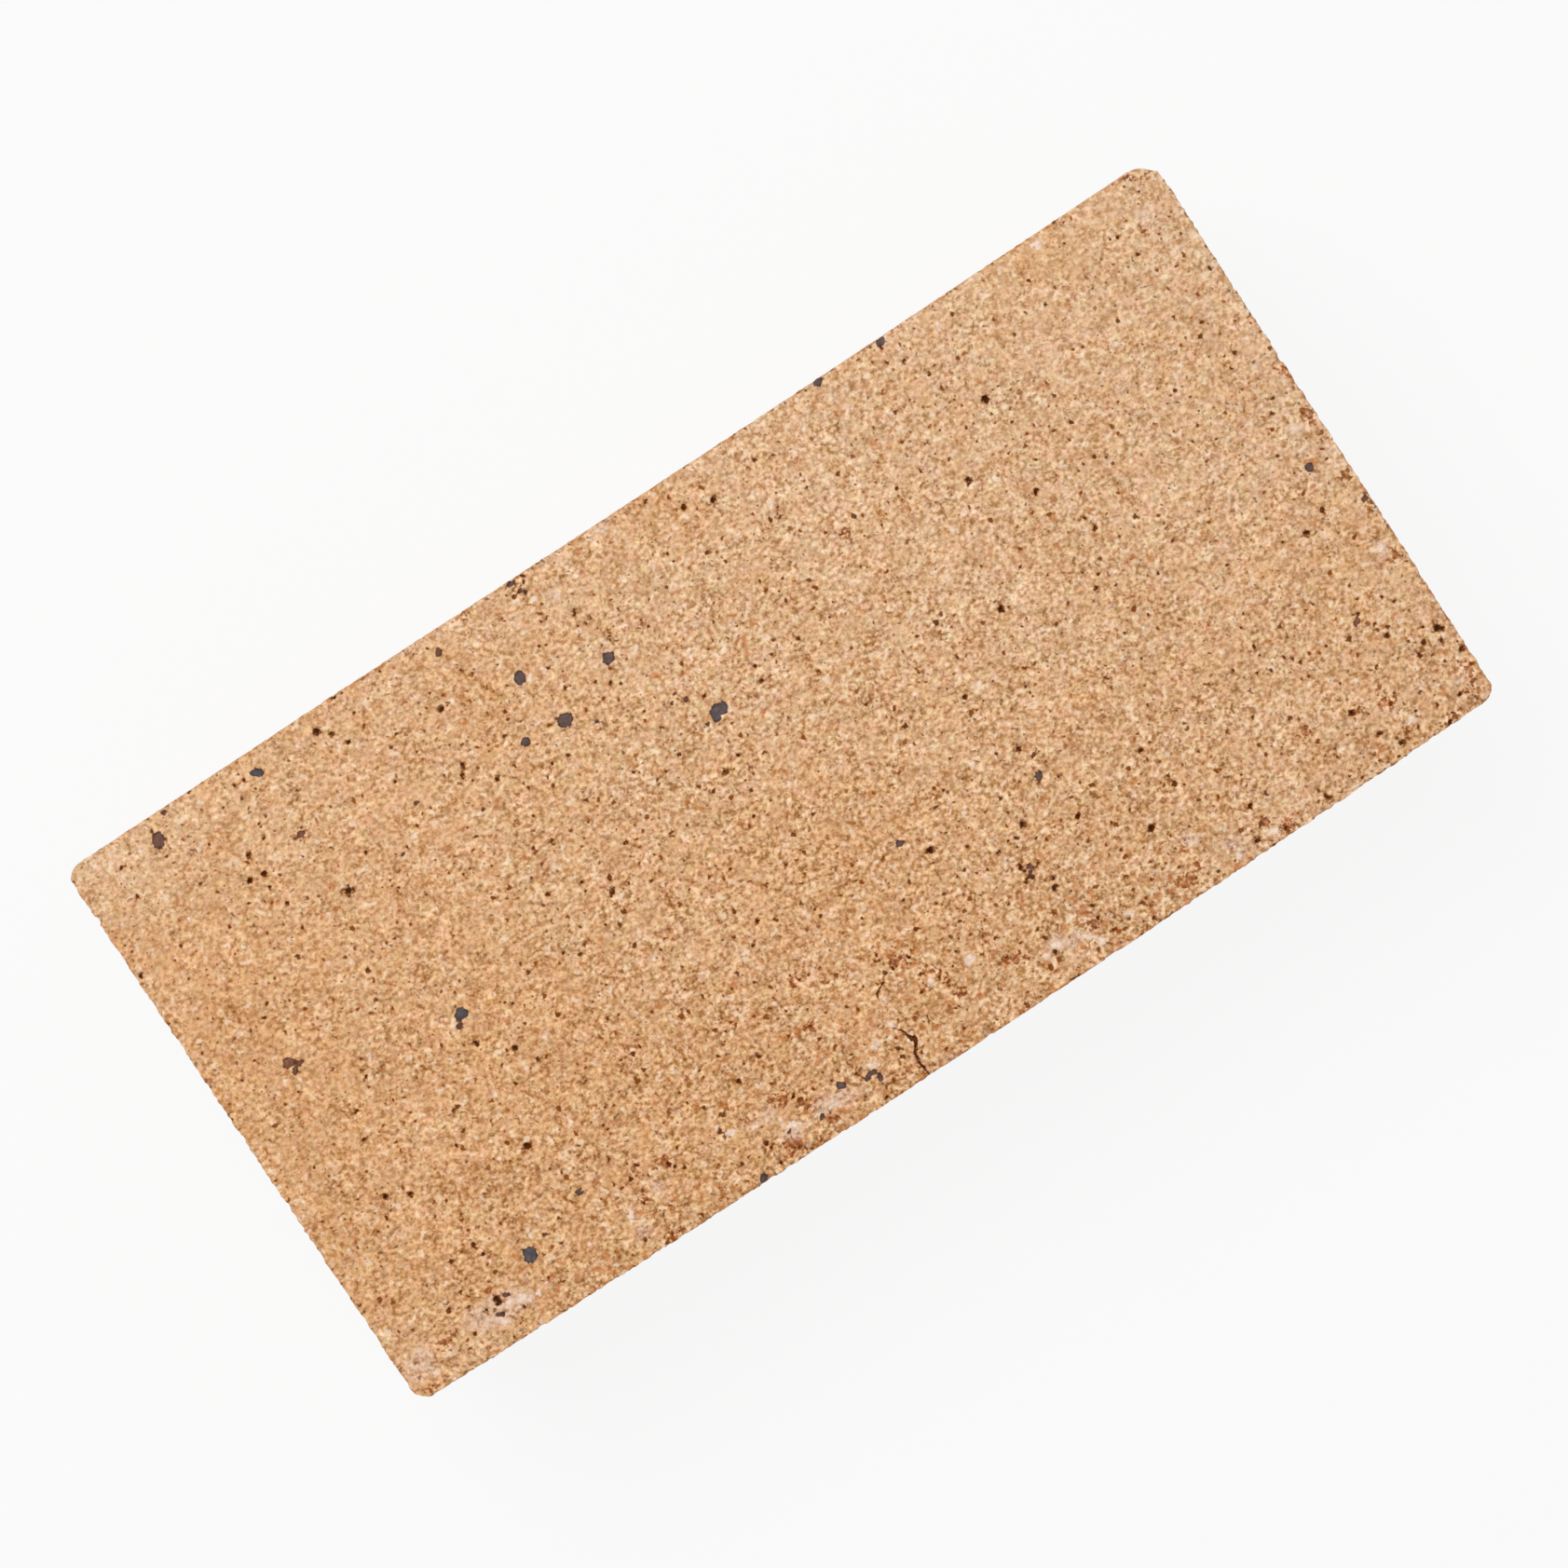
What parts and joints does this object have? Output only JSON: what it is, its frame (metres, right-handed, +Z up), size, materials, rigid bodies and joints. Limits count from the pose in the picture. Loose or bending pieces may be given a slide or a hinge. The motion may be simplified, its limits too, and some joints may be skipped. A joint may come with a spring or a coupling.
{
  "type": "refractory firebrick",
  "caption": "Plain rectangular dense fireclay brick with rounded corners and softened edges, for lining kilns, furnaces and stoves.",
  "frame": {"origin": "the middle of the lower bed face", "axes": "+X along the length, +Y along the width, +Z up through the thickness"},
  "size_m": [0.23, 0.114, 0.064],
  "materials": {
    "fired_clay": "matte"
  },
  "bodies": {
    "root": {"firebrick": "fired_clay"}
  },
  "joints": []
}
